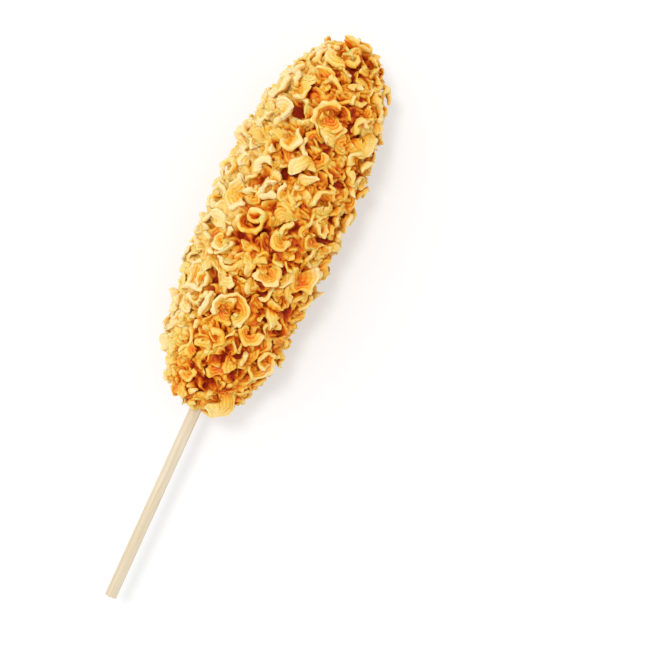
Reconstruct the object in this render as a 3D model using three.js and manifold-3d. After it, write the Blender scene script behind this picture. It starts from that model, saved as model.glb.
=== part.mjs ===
// A Korean-style corn dog: a battered sausage on a wooden stick, rolled in broken ramen noodles and fried.
// It lies on its side. Millimetres, +Z up, +Y from the stick's free end to the tip of the food.
// The origin is under the middle of the whole, on the surface that it lies on.
// Two pieces: the fried crust, with its curled noodle pieces fused to it, and the stick that runs into it.
import * as THREE from "three";
import { mergeVertices } from "three/addons/utils/BufferGeometryUtils.js";
import Module from "manifold-3d";

// Driving dimensions of the food, measured on the batter under the noodles.
const BATTER_LENGTH = 137.5;
const BATTER_RADIUS = 20.3;
const BLUNT_SHARE = 0.48; // share of the length in which the end at the stick rounds off
const TIP_SHARE = 0.36; // share of the length in which the tip rounds off
const BLUNT_POWER = 1 / 2.9; // a smaller power makes a blunter end
const TIP_POWER = 1 / 2;
const SIDE_SHIFT = 0.9; // how far the food lies to the left of the stick's line at its ends
const SIDE_BEND = 1.5; // and how much further in the middle

// The noodle layer: small pieces fill it to FILL_DEPTH, and the large pieces stand out of them.
const FILL_DEPTH = 3.1;
const FILL_ROUGHNESS = 2.8; // from its lowest hollows to its highest crags
const TOP_LOW = 5.1; // lowest and highest top of a large piece, over the batter
const TOP_HIGH = 7.3;
const SEAT = 0.2; // most that the lowest strand of a large piece lies above the fill, by its middle
const LARGE_PIECES = 130;
const TRIES_PER_PIECE = 6;
const NESTS = [
  [0.822, 80], // where one shell sits in another: share of the skin before it, and degrees round the food
  [0.224, 91],
];
const PITS = [
  [0.047, 85], // where the crust lies open down to the batter
  [0.835, 58],
  [0.87, 58],
  [0.953, 82],
];
const PIT_CLEAR = 5.5; // least distance from a pit's middle to that of a large piece
const CRUST_SEED = 20261;

// One ramen strand, puffed by frying, and a shell: a cup of strands stuck together side by side, as ribs.
const STRAND_WIDTH = 2.4;
const STRAND_DEPTH = 2;
const RIB_PITCH = 1.15; // between the ribs of a shell
const RIB_RADIUS = 0.75;
const INNER_RADIUS = 0.95; // least radius of a shell's innermost rib
const BALL_RADIUS = 1.4; // room that a piece takes up round each point of its ribs
const STRAND_STEP = 2.4; // length of one straight stretch of a bent strand
const STRAND_SIDES = 5;
const SHELL_SIDES = 6;
const STICK_REACH = 12; // how far down the stick large pieces keep clear of it

// The stick: a bamboo square with round edges, half of it in the food.
const STICK_FREE_LENGTH = 78.5;
const STICK_HIDDEN_LENGTH = 71.5;
const STICK_ACROSS = 3.8;
const STICK_EDGE_RADIUS = 1.1;
const STICK_EDGE_STEPS = 4;
const STICK_TURN = THREE.MathUtils.degToRad(35);
const STICK_CLEARANCE = 0.3;

// The food lies on the noodles that its own weight has pressed flat.
const REST_DEPTH = 24.8; // from the stick's line down to the surface

const SHORTEST_EDGE = 0.05; // shorter edges, left where pieces cross, are closed up
const BATTER_STEPS = 30; // along the food
const BATTER_SIDES = 26; // round the food
const TABLE_STEPS = 240;

const wasm = await Module();
wasm.setup();

// Seeded random numbers: the same draws in the same order make the same crust each time.
class Dice {
  constructor(seed) {
    this.state = seed;
  }
  roll(low = 0, high = 1) {
    this.state = (this.state * 48271) % 2147483647;
    return low + ((high - low) * this.state) / 2147483647;
  }
}

// Radius of the batter at a share of its length.
function batterRadius(share) {
  if (share < BLUNT_SHARE) {
    return BATTER_RADIUS * (1 - (1 - share / BLUNT_SHARE) ** 2) ** BLUNT_POWER;
  }
  const intoTip = (share - 1 + TIP_SHARE) / TIP_SHARE;
  return intoTip > 0 ? BATTER_RADIUS * (1 - intoTip ** 2) ** TIP_POWER : BATTER_RADIUS;
}

// The food's middle line bends gently to the left of the stick's.
function sideOffset(y) {
  return -SIDE_SHIFT - SIDE_BEND * Math.sin(Math.PI * THREE.MathUtils.clamp(y / BATTER_LENGTH, 0, 1));
}

// The batter's profile as rings from the stick's end to the tip, closer together where it curves most,
// each with the area of the skin before it.
function profileTable(steps) {
  const rings = [];
  for (let i = 0; i <= steps; i++) {
    const share = (1 - Math.cos((Math.PI * i) / steps)) / 2;
    const radius = i === 0 || i === steps ? 0 : batterRadius(share);
    rings.push({ y: share * BATTER_LENGTH, radius, area: 0 });
  }
  for (let i = 1; i <= steps; i++) {
    const [a, b] = [rings[i - 1], rings[i]];
    b.area = a.area + (a.radius + b.radius) * Math.hypot(b.y - a.y, b.radius - a.radius);
  }
  return rings;
}

// A place on the batter's skin, at a share of its area and an angle round it, as a matrix
// whose Z axis points straight out of the skin and whose Y axis points towards the tip.
function skinFrame(table, areaShare, angle) {
  const area = areaShare * table[table.length - 1].area;
  const i = table.findIndex((ring) => ring.area >= area);
  const [a, b] = [table[Math.max(i - 1, 0)], table[Math.max(i, 1)]];
  const along = (area - a.area) / (b.area - a.area);
  const y = a.y + (b.y - a.y) * along;
  const radius = a.radius + (b.radius - a.radius) * along;
  const slope = Math.atan2(b.radius - a.radius, b.y - a.y);
  const outward = new THREE.Vector3(Math.cos(angle), 0, Math.sin(angle));
  const position = outward.clone().multiplyScalar(radius).add(new THREE.Vector3(sideOffset(y), y, 0));
  const normal = outward.clone().multiplyScalar(Math.cos(slope)).setY(-Math.sin(slope));
  const forward = outward.clone().multiplyScalar(Math.sin(slope)).setY(Math.cos(slope));
  const across = new THREE.Vector3().crossVectors(forward, normal);
  return new THREE.Matrix4().makeBasis(across, forward, normal).setPosition(position);
}

// A shell: its middle line's radius and turn, how far its wall leans out, the most ribs that it has if its
// radius leaves room for them, and the least and most that its plane tips up out of the skin, in degrees.
function shellPiece(radius, turn, slope, wanted, tip) {
  const room = 1 + Math.floor((2 * (radius - INNER_RADIUS)) / (Math.sin(slope) * RIB_PITCH));
  return { bends: [[radius * turn, turn]], ribs: Math.max(2, Math.min(wanted, room)), slope, tip };
}

// A piece of a single strand, its bends given as pairs of length and turn.
function strandPiece(bends) {
  return { bends, ribs: 1, slope: 0, tip: [5, 30] };
}

// The two shells of a nest, the wider one first.
function nestShells() {
  const { degToRad } = THREE.MathUtils;
  return [
    shellPiece(5, degToRad(290), degToRad(55), 3, [5, 18]),
    shellPiece(2.8, degToRad(240), degToRad(60), 4, [15, 32]),
  ];
}

// Draws the shape of one large piece.
function drawPiece(dice) {
  const kind = dice.roll();
  const radius = dice.roll(2.2, 3.5);
  const turn = THREE.MathUtils.degToRad(dice.roll(160, 300));
  const slope = THREE.MathUtils.degToRad(dice.roll(45, 80));
  const wanted = 3 + Math.floor(dice.roll(0, 3.6));
  const low = dice.roll() < 0.6 ? 5 : 130; // tipped right over, a shell shows its outside
  if (kind < 0.05) {
    return shellPiece(radius * 1.4, turn, slope, wanted + 1, [low, low + 35]);
  }
  if (kind < 0.84) {
    return shellPiece(radius, turn, slope, wanted, [low, low + 45]);
  }
  if (kind < 0.89) {
    const scroll = [
      [radius * 1.3 * turn, turn * 0.85],
      [radius * 0.8 * turn, turn * 1.1],
    ];
    return { bends: scroll, ribs: 3, slope: slope / 2, tip: [0, 35] };
  }
  if (kind < 0.95) {
    return strandPiece([[radius * 1.1 * turn, turn]]); // curl
  }
  const wave = [
    [radius * 0.7 * turn, turn * 0.6],
    [radius * 0.6 * turn, turn * -0.5],
  ];
  return strandPiece(wave);
}

// The middle line of a strand with these bends, flat in XY and centred on the origin: its points, and the
// way to the left of the line at each.
function middleLine(bends, step) {
  const points = [new THREE.Vector3()];
  const lefts = [new THREE.Vector3(0, 1, 0)];
  let heading = 0;
  for (const [length, turn] of bends) {
    const count = Math.max(1, Math.round(length / step));
    for (let i = 0; i < count; i++) {
      heading += turn / count / 2;
      const stretch = new THREE.Vector3(Math.cos(heading), Math.sin(heading), 0);
      points.push(points[points.length - 1].clone().addScaledVector(stretch, length / count));
      heading += turn / count / 2;
      lefts.push(new THREE.Vector3(-Math.sin(heading), Math.cos(heading), 0));
    }
  }
  const middle = new THREE.Box3().setFromPoints(points).getCenter(new THREE.Vector3());
  points.forEach((point) => point.sub(middle));
  return { points, lefts };
}

// The balls that stand for a piece where pieces are set beside each other: the points of each of its ribs.
// Each rib lies further up the wall, and further out.
function pieceBalls(piece) {
  const balls = [];
  for (let rib = 0; rib < piece.ribs; rib++) {
    const side = (rib - (piece.ribs - 1) / 2) * RIB_PITCH;
    piece.line.points.forEach((point, i) => {
      const out = piece.line.lefts[i].clone().multiplyScalar(-Math.sin(piece.slope) * side);
      const up = new THREE.Vector3(0, 0, Math.cos(piece.slope) * side);
      balls.push(point.clone().add(out).add(up).applyMatrix4(piece.matrix));
    });
  }
  return balls;
}

// Sets a piece on the skin: turned and tipped at random, with its top no lower than topLow and its lowest
// strand no higher than the small pieces that hold it.
function setPiece(piece, frame, topLow, dice) {
  const turned = new THREE.Matrix4().makeRotationZ(dice.roll(0, 2 * Math.PI));
  const tipped = new THREE.Matrix4().makeRotationX(THREE.MathUtils.degToRad(dice.roll(...piece.tip)));
  const spun = new THREE.Matrix4().makeRotationZ(dice.roll(0, 2 * Math.PI));
  const top = dice.roll(topLow, TOP_HIGH) - BALL_RADIUS;
  piece.line = middleLine(piece.bends, STRAND_STEP);
  piece.matrix = spun.multiply(tipped).multiply(turned);
  const heights = pieceBalls(piece).map((ball) => ball.z);
  const lift = Math.min(top - Math.max(...heights), FILL_DEPTH + SEAT - Math.min(...heights));
  piece.matrix.premultiply(new THREE.Matrix4().makeTranslation(0, 0, lift)).premultiply(frame);
  piece.balls = pieceBalls(piece);
  return piece;
}

// How far a piece's balls reach into those that are already set, on average.
function crowding(balls, placed) {
  let sum = 0;
  for (const ball of balls) {
    for (const other of placed) {
      sum += Math.max(0, 2 * BALL_RADIUS - ball.distanceTo(other));
    }
  }
  return sum / balls.length;
}

// Whether a place on the skin is open to a large piece: none stands in a pit.
function isOpen(frame, pits) {
  const place = new THREE.Vector3().setFromMatrixPosition(frame);
  return pits.every((pit) => pit.distanceTo(place) > PIT_CLEAR);
}

// The nests, and round them the other large pieces, spread evenly over the skin by the golden angle, each
// the least crowded of a few draws.
function largePieces() {
  const dice = new Dice(CRUST_SEED);
  const table = profileTable(TABLE_STEPS);
  const goldenAngle = Math.PI * (3 - Math.sqrt(5));
  const placed = [];
  for (let y = -STICK_REACH; y <= 2; y++) {
    placed.push(new THREE.Vector3(0, y, 0));
  }
  const pits = PITS.map(([areaShare, degrees]) => {
    const frame = skinFrame(table, areaShare, THREE.MathUtils.degToRad(degrees));
    return new THREE.Vector3().setFromMatrixPosition(frame);
  });
  const pieces = [];
  for (const [areaShare, degrees] of NESTS) {
    for (const piece of nestShells()) {
      setPiece(piece, skinFrame(table, areaShare, THREE.MathUtils.degToRad(degrees)), TOP_HIGH, dice);
      placed.push(...piece.balls);
      pieces.push(piece);
    }
  }
  for (let i = 0; i < LARGE_PIECES; i++) {
    if (!isOpen(skinFrame(table, (i + 0.5) / LARGE_PIECES, i * goldenAngle), pits)) {
      continue;
    }
    let best = null;
    for (let k = 0; k < TRIES_PER_PIECE; k++) {
      const areaShare = (i + 0.5 + dice.roll(-0.4, 0.4)) / LARGE_PIECES;
      const angle = i * goldenAngle + dice.roll(-0.12, 0.12);
      const piece = setPiece(drawPiece(dice), skinFrame(table, areaShare, angle), TOP_LOW, dice);
      piece.crowding = crowding(piece.balls, placed);
      if (!best || piece.crowding < best.crowding) {
        best = piece;
      }
    }
    placed.push(...best.balls);
    pieces.push(best);
  }
  return pieces;
}

// A three.js geometry as a manifold-3d solid.
function solidOf(geometry) {
  const bare = geometry.index ? geometry.toNonIndexed() : geometry.clone();
  bare.deleteAttribute("normal");
  bare.deleteAttribute("uv");
  const merged = mergeVertices(bare, 1e-4);
  return new wasm.Manifold(
    new wasm.Mesh({
      numProp: 3,
      vertProperties: new Float32Array(merged.attributes.position.array),
      triVerts: new Uint32Array(merged.index.array),
    }),
  );
}

// A manifold-3d solid as a three.js geometry.
function geometryOf(solid) {
  const mesh = solid.getMesh();
  const geometry = new THREE.BufferGeometry();
  geometry.setAttribute("position", new THREE.BufferAttribute(mesh.vertProperties, 3));
  geometry.setIndex(new THREE.BufferAttribute(mesh.triVerts, 1));
  geometry.computeVertexNormals();
  return geometry;
}

// The batter and the small noodle pieces on it, as one craggy body.
function batterSolid() {
  const dice = new Dice(CRUST_SEED + 1);
  const profile = profileTable(BATTER_STEPS).map((ring) => new THREE.Vector2(ring.radius, ring.y));
  const lathe = new THREE.LatheGeometry(profile, BATTER_SIDES);
  lathe.deleteAttribute("normal");
  lathe.deleteAttribute("uv");
  const geometry = mergeVertices(lathe, 1e-3);
  const position = geometry.attributes.position;
  const middle = BATTER_LENGTH / 2;
  for (let i = 0; i < position.count; i++) {
    const [x, y, z] = [position.getX(i), position.getY(i), position.getZ(i)];
    const radius = Math.hypot(x, z);
    const depth = FILL_DEPTH + dice.roll(-FILL_ROUGHNESS, FILL_ROUGHNESS) / 2;
    const grow = radius > 0 ? 1 + depth / radius : 1;
    const lengthen = 1 + (2 * FILL_DEPTH) / BATTER_LENGTH;
    position.setXYZ(i, x * grow + sideOffset(y), middle + (y - middle) * lengthen, z * grow);
  }
  return solidOf(geometry);
}

// A closed outline through points on an oval, its two halves drawn apart by a straight stretch, turned.
function ovalOutline(sides, width, depth, apart, turn) {
  const points = [];
  for (let i = 0; i < sides; i++) {
    const angle = (2 * Math.PI * i) / sides;
    const x = (Math.cos(angle) * width) / 2 + (Math.sign(Math.cos(angle)) * apart) / 2;
    points.push(new THREE.Vector2(x, (Math.sin(angle) * depth) / 2).rotateAround(new THREE.Vector2(), turn));
  }
  return new THREE.Shape(points);
}

// A large noodle piece, as a tube along its middle line. A shell's ribs are one wide tube, which leans out.
function pieceSolid(piece) {
  const section =
    piece.ribs > 1
      ? ovalOutline(SHELL_SIDES, 2 * RIB_RADIUS, 2 * RIB_RADIUS, (piece.ribs - 1) * RIB_PITCH, piece.slope)
      : ovalOutline(STRAND_SIDES, STRAND_WIDTH, STRAND_DEPTH, 0, 0);
  const geometry = new THREE.ExtrudeGeometry(section, {
    extrudePath: new THREE.CatmullRomCurve3(piece.line.points),
    steps: piece.line.points.length - 1,
    bevelEnabled: false,
  });
  return solidOf(geometry.applyMatrix4(piece.matrix));
}

// The stick's section, grown all round by a margin: a square with round edges.
function stickSection(margin) {
  const half = STICK_ACROSS / 2 - STICK_EDGE_RADIUS;
  const radius = STICK_EDGE_RADIUS + margin;
  const points = [];
  for (let corner = 0; corner < 4; corner++) {
    const start = (corner * Math.PI) / 2;
    const x = half * Math.sign(Math.cos(start + Math.PI / 4));
    const y = half * Math.sign(Math.sin(start + Math.PI / 4));
    for (let i = 0; i <= STICK_EDGE_STEPS; i++) {
      const angle = start + (Math.PI / 2) * (i / STICK_EDGE_STEPS);
      points.push(new THREE.Vector2(x + radius * Math.cos(angle), y + radius * Math.sin(angle)));
    }
  }
  return new THREE.Shape(points);
}

// The stick's shape between two places on the stick's line.
function stickGeometry(margin, from, to) {
  return new THREE.ExtrudeGeometry(stickSection(margin), { depth: to - from, bevelEnabled: false })
    .rotateZ(STICK_TURN)
    .rotateX(-Math.PI / 2)
    .translate(0, from, 0);
}

// The largest of a solid's separate bodies, without the scraps and sealed hollows that fusing leaves.
function largestBody(solid) {
  return solid.decompose().sort((a, b) => b.volume() - a.volume())[0];
}

function crustGeometry() {
  const beyond = 30; // how far the cutting shapes reach past the food
  const size = 2 * BATTER_LENGTH;
  const surface = new THREE.BoxGeometry(size, size, beyond).translate(
    0,
    BATTER_LENGTH / 2,
    -REST_DEPTH - beyond / 2,
  );
  const bore = stickGeometry(STICK_CLEARANCE, -beyond, STICK_HIDDEN_LENGTH + STICK_CLEARANCE);
  const solids = [batterSolid(), ...largePieces().map(pieceSolid)];
  const cut = wasm.Manifold.union(solids).subtract(solidOf(surface)).subtract(solidOf(bore));
  return geometryOf(largestBody(largestBody(cut).asOriginal().simplify(SHORTEST_EDGE)));
}

const crust = new THREE.Mesh(
  crustGeometry(),
  new THREE.MeshStandardMaterial({ color: 0xe19d38, roughness: 0.55, metalness: 0 }),
);
crust.name = "noodle_crust";

const stick = new THREE.Mesh(
  stickGeometry(0, -STICK_FREE_LENGTH, STICK_HIDDEN_LENGTH),
  new THREE.MeshStandardMaterial({ color: 0xe8d7b8, roughness: 0.7, metalness: 0 }),
);
stick.name = "stick";

const cornDog = new THREE.Group();
cornDog.add(crust, stick);
const box = new THREE.Box3().setFromObject(cornDog);
const middle = box.getCenter(new THREE.Vector3());
cornDog.position.set(-middle.x, -middle.y, -box.min.z);

export default cornDog;
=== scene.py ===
"""A Korean-style corn dog: fried batter on a bamboo stick, coated in curled pieces of ramen noodle.

It lies on a pale floor with its shown side up, and the camera looks straight down on it.
The crust is built in millimetres in the food's own frame: Y runs along the stick from the batter's blunt
end, and the stick's line is x = 0, z = 0. The large noodle pieces are the ones that the CAD source sets,
with the same draws in the same order. Smaller pieces and the batter itself fill in round them.
"""

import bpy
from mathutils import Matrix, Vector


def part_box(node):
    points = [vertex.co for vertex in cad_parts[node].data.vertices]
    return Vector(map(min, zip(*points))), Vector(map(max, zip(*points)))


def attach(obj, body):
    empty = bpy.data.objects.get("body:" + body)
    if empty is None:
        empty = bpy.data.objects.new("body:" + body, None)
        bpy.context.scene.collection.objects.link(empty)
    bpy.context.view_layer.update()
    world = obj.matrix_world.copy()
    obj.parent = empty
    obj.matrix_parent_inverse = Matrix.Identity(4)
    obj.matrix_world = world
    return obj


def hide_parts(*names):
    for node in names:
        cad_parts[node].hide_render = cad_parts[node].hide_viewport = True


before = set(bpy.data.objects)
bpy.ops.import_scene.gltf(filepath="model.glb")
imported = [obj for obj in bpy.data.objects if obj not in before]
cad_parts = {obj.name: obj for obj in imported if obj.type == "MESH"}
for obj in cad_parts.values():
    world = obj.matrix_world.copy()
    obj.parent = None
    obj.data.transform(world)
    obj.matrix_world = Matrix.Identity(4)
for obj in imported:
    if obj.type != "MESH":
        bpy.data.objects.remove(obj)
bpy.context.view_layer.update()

import math
from collections import namedtuple

import bpy
import numpy as np
from mathutils import Vector

MM = 0.001
FULL_TURN = 2 * math.pi
UV_MARGIN = 0.04  # round a shape in its cell of the UV map

# The food and its noodle layer, as in the CAD source, in millimetres.
BATTER_LENGTH = 137.5
BATTER_RADIUS = 20.3
BLUNT_SHARE = 0.48  # share of the length in which the end at the stick rounds off
TIP_SHARE = 0.36  # share of the length in which the tip rounds off
BLUNT_POWER = 1 / 2.9  # a smaller power makes a blunter end
TIP_POWER = 1 / 2
SIDE_SHIFT = 0.9  # how far the food lies to the left of the stick's line at its ends
SIDE_BEND = 1.5  # and how much further in the middle
FILL_DEPTH = 3.1  # of the small pieces round the large ones
TOP_LOW = 5.1  # lowest and highest top of a large piece, over the batter
TOP_HIGH = 7.3
SEAT = 0.2  # most that the lowest strand of a large piece lies above the fill, by its middle
LARGE_PIECES = 130
TRIES_PER_PIECE = 6
SHIFT_ALONG = 0.4  # most that a large piece strays from its even place, in shares of the step to the next
SHIFT_ROUND = 0.12  # and round the food, in radians
NESTS = ((0.822, 80), (0.224, 91))  # one shell in another: share of the skin before it, and degrees round
PITS = ((0.047, 85), (0.835, 58), (0.87, 58), (0.953, 82))  # where the crust lies open down to the batter
PIT_CLEAR = 5.5  # least distance from a pit's middle to that of a large piece
CRUST_SEED = 20261
STRAND_WIDTH = 2.4
STRAND_DEPTH = 2.0
STRAND_STEP = 2.4  # length of one straight stretch of a bent strand, where pieces are set
BALL_RADIUS = 1.4  # room that a piece takes up round each point of its ribs
RIB_PITCH = 1.15  # between the ribs of a shell
RIB_RADIUS = 0.75
INNER_RADIUS = 0.95  # least radius of a shell's innermost rib
STICK_FREE_LENGTH = 78.5
STICK_REACH = 12  # how far down the stick pieces keep clear of it
STICK_ACROSS = 3.8
STICK_EDGE_RADIUS = 1.1
STICK_TURN = math.radians(35)
REST_DEPTH = 24.8  # of the surface that it lies on, under the stick's line
TABLE_STEPS = 240
GOLDEN_ANGLE = math.pi * (3 - math.sqrt(5))

# The layers of noodle pieces, of which only the large one is in the CAD source. Each piece is the best of
# some tries, with its top between two heights over the skin and its lowest strand no higher than the seat.
Layer = namedtuple("Layer", "name pieces tries tops seat scale step")
LARGE = Layer("large", pieces=LARGE_PIECES, tries=TRIES_PER_PIECE, tops=(TOP_LOW, TOP_HIGH),
              seat=FILL_DEPTH + SEAT, scale=(1.02, 1.16), step=0.6)
MIDDLE = Layer("middle", pieces=400, tries=5, tops=(4.3, 6.4), seat=3.2, scale=(0.95, 1.08), step=0.8)
UNDER = Layer("under", pieces=400, tries=3, tops=(2.8, 4.6), seat=2.0, scale=(0.95, 1.08), step=1.0)
FINE_SEED = CRUST_SEED + 2
SKIN_SAMPLES = 5000  # places on the skin where gaps are looked for
NEST_RADIUS = 4.5  # small pieces keep clear of a nest's middle
PIT_RADIUS = 3.5  # and of a pit's
BARE_PLACES = 60  # hollows between the pieces, down to the dark batter
BARE_RADIUS = 2.4
BARE_APART = 9.0
HOLLOW_DEPTH = 2.7  # how much lower the batter lies in them

# The form of a noodle piece.
STRAND_SIDES = 10
GROOVE_SHARE = (0.5, 0.8)  # thickness of a shell between its ribs, of that on them
SHOULDER_SHARE = 0.7  # of a rib's radius: where the section turns round a shell's edge
CUP_BEND = 0.16  # radians that a shell's wall turns inwards in a millimetre down it
FLATTEST = math.radians(88)  # most that it leans out
END_ROUNDING = (0.4, 1.0)  # length over which an end rounds off
MOST_ROUNDED = 0.3  # and the most of a piece's length that it takes up
END_RINGS = (0.0, 0.12, 0.4)  # where the rings lie in it
END_SHARE = 0.35  # share of the section that is left at the very end
SHELL_TAPER = 0.2  # how much of the rounding shows in a shell's width
RIB_LOSS = 0.3  # most that a rib breaks off short, as a share of the piece's half width
CORNER_LOSS = 0.15  # and how much more at the piece's edges
# The unevenness of a piece: share of its thickness, waves round it, and radians a millimetre along it.
SWELLS = ((0.1, 0, 1.2), (0.07, 0, 2.9), (0.07, 2, 0.8), (0.05, 3, -2.1))
WIDTH_SWELL = 0.6  # how much of it shows in the width
RIPPLES = ((0.45, (1.1, 1.7)), (0.55, (1.7, 2.5)))  # the waves of a frill: share, and radians a millimetre
EDGE_RIPPLE = 0.42  # height of the frill of a piece's edges, along its width
FACE_RIPPLE = 0.46  # and through it
RISE = (0.1, 0.5)  # height of the slow wave by which a piece rises and falls
RISE_PACE = (0.3, 0.9)  # and its radians a millimetre
RIM_WIDTH = 0.8  # of the painted highlight at a broken end
WARPS = ((7.0, 0.5), (3.2, 0.2))  # swells that pull the noodles out of true: their size and reach
WARP_WAVES = 8
WARP_SEED = CRUST_SEED + 3
PRESSED_FROM = 19.5  # the food's weight presses what lies lower than this under the stick's line
FLATTENED = 0.94  # share of that depth below which it is pressed quite flat

# The batter's relief. A ridge runs where swells of some size cross their middle height, and is as wide as a
# share of their height.
BATTER_RINGS = 360
BATTER_SIDES = 250
BATTER_RISE = 0.7
COARSE_RIDGES = (1.7, 6.5, 0.55, 14)  # height, size, width and number of waves
FINE_RIDGES = (1.0, 4.0, 0.5, 14)
LUMPS = ((0.5, 5.0, 12), (0.5, 2.0, 14), (0.28, 1.1, 14))  # height, size and waves of each
TINT_LUMPS = (0.3, 14.0, 10)  # the same for its paler and darker parts
BATTER_SPLAY = 0.06  # how much the relief leans towards the food's ends
BATTER_CREST = 4.0  # rise at which the batter takes its palest colour

# The stick's finish.
STICK_SEED = CRUST_SEED + 9
STICK_RINGS = 120
STICK_END_RING = 0.6  # where the even rings begin, from its ends
STICK_BEVEL = (0.0, 0.06, 0.2)  # places of the rings round its cut ends
BEVEL_SHARES = (0.93, 0.975, 1.0)  # and how wide it is there
FIBRE_DEPTH = (-0.018, 0.006)  # of its radius

# Where the crust's colour changes, in millimetres.
PATCH_SIZE = 11.0  # of the parts of the crust that are fried more, or less
PAINTED_FLANK_SPAN = (-3.0, -20.0)  # across the food: from where to where painted light makes it paler on the left
BROWNING = (75.0, 15.0)  # along it from the blunt end: from where to where it gets browner

# The photograph's frame: square, looking straight down.
IMAGE_WIDTH = 235.6  # in millimetres, at the stick's height
LEAN = math.radians(24.5)  # of the corn dog, clockwise from the picture's vertical
STICK_END_TO_MIDDLE = (30.0, 121.7)  # from the stick's free end to the middle of the picture
LENS = 90.0
SENSOR = 36.0

# The surroundings. A lamp has a way towards it in the picture's right, up and out of it, its distance and
# size in metres, and its power in watts.
FLOOR_REACH = 3.0  # in metres
FLOOR_GREY = 0.55
FLOOR_GLOW = 0.34
ROOM_LIGHT = 0.97
KEY_LAMP = ((-0.12, 0.11, 0.9), 1.0, 0.2, 3.7)
SIDE_LAMP = ((-1.0, 0.15, 0.3), 1.2, 0.7, 1.6)


class Dice:
    """Seeded random numbers, drawn as the CAD source draws them."""

    MULTIPLIER = 48271
    MODULUS = 2147483647

    def __init__(self, seed):
        self.state = seed

    def roll(self, low=0.0, high=1.0):
        self.state = self.state * self.MULTIPLIER % self.MODULUS
        return low + (high - low) * self.state / self.MODULUS


# The batter's skin.


def batter_radius(share):
    """Radius of the batter at a share of its length."""
    if share < BLUNT_SHARE:
        return BATTER_RADIUS * (1 - (1 - share / BLUNT_SHARE) ** 2) ** BLUNT_POWER
    into_tip = (share - 1 + TIP_SHARE) / TIP_SHARE
    return BATTER_RADIUS * (1 - into_tip**2) ** TIP_POWER if into_tip > 0 else BATTER_RADIUS


def side_offset(y):
    """How far the food's middle line lies beside the stick's, at these places along it."""
    return -SIDE_SHIFT - SIDE_BEND * np.sin(math.pi * np.clip(y / BATTER_LENGTH, 0, 1))


def profile_table(steps):
    """The batter's profile as rings: places along it, radii, and the area of the skin before each."""
    shares = (1 - np.cos(math.pi * np.arange(steps + 1) / steps)) / 2
    radius = np.array([0.0] + [batter_radius(share) for share in shares[1:-1]] + [0.0])
    y = shares * BATTER_LENGTH
    bands = (radius[:-1] + radius[1:]) * np.hypot(np.diff(y), np.diff(radius))
    return y, radius, np.concatenate([[0.0], np.cumsum(bands)])


TABLE = profile_table(TABLE_STEPS)


def skin_frame(area_share, angle):
    """A place on the batter's skin as a matrix: Z points out of the skin, and Y towards the tip."""
    ys, radii, areas = TABLE
    area = area_share * areas[-1]
    i = int(np.searchsorted(areas, area))
    a, b = max(i - 1, 0), max(i, 1)
    along = (area - areas[a]) / (areas[b] - areas[a])
    y = ys[a] + (ys[b] - ys[a]) * along
    radius = radii[a] + (radii[b] - radii[a]) * along
    slope = math.atan2(radii[b] - radii[a], ys[b] - ys[a])
    outward = np.array([math.cos(angle), 0.0, math.sin(angle)])
    along_y = np.array([0.0, 1.0, 0.0])
    normal = outward * math.cos(slope) - along_y * math.sin(slope)
    forward = outward * math.sin(slope) + along_y * math.cos(slope)
    matrix = np.eye(4)
    matrix[:3, 0] = np.cross(forward, normal)
    matrix[:3, 1] = forward
    matrix[:3, 2] = normal
    matrix[:3, 3] = outward * radius + np.array([side_offset(y), y, 0.0])
    return matrix


def golden_frame(i, count):
    """The i-th of the places that the golden angle spreads evenly over the skin."""
    return skin_frame((i + 0.5) / count, i * GOLDEN_ANGLE)


def on_skin(places):
    """Frames on the skin at these shares of it and degrees round it."""
    return [skin_frame(area_share, math.radians(angle)) for area_share, angle in places]


def middles_of(frames):
    """The places where these frames lie."""
    return np.array([matrix[:3, 3] for matrix in frames])


def turn_matrix(axis, angle):
    """A turn about X (0) or Z (2)."""
    a, b = [i for i in range(3) if i != axis]
    matrix = np.eye(4)
    matrix[a, a] = matrix[b, b] = math.cos(angle)
    matrix[a, b] = -math.sin(angle)
    matrix[b, a] = math.sin(angle)
    return matrix


def moved(matrix, points):
    return points @ matrix[:3, :3].T + matrix[:3, 3]


def round_angles(count):
    """Angles spread evenly all round."""
    return np.arange(count) * FULL_TURN / count


# The shapes of the noodle pieces. A piece has bends as (length, turn), ribs, the slope of its wall, and the
# least and most that it is tipped, in degrees.


def strand_piece(bends, tip):
    """A piece of one strand."""
    return {"bends": bends, "ribs": 1, "slope": 0.0, "tip": tip}


def shell_piece(radius, turn, slope, wanted, tip):
    """A shell, with as many of the wanted ribs as its radius has room for."""
    room = 1 + math.floor(2 * (radius - INNER_RADIUS) / (math.sin(slope) * RIB_PITCH))
    return {"bends": [(radius * turn, turn)], "ribs": max(2, min(wanted, room)), "slope": slope, "tip": tip}


def scroll_piece(radius, turn, slope):
    """A low shell that winds in on itself."""
    bends = [(radius * 1.3 * turn, turn * 0.85), (radius * 0.8 * turn, turn * 1.1)]
    return {"bends": bends, "ribs": 3, "slope": slope / 2, "tip": (0, 35)}


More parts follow.
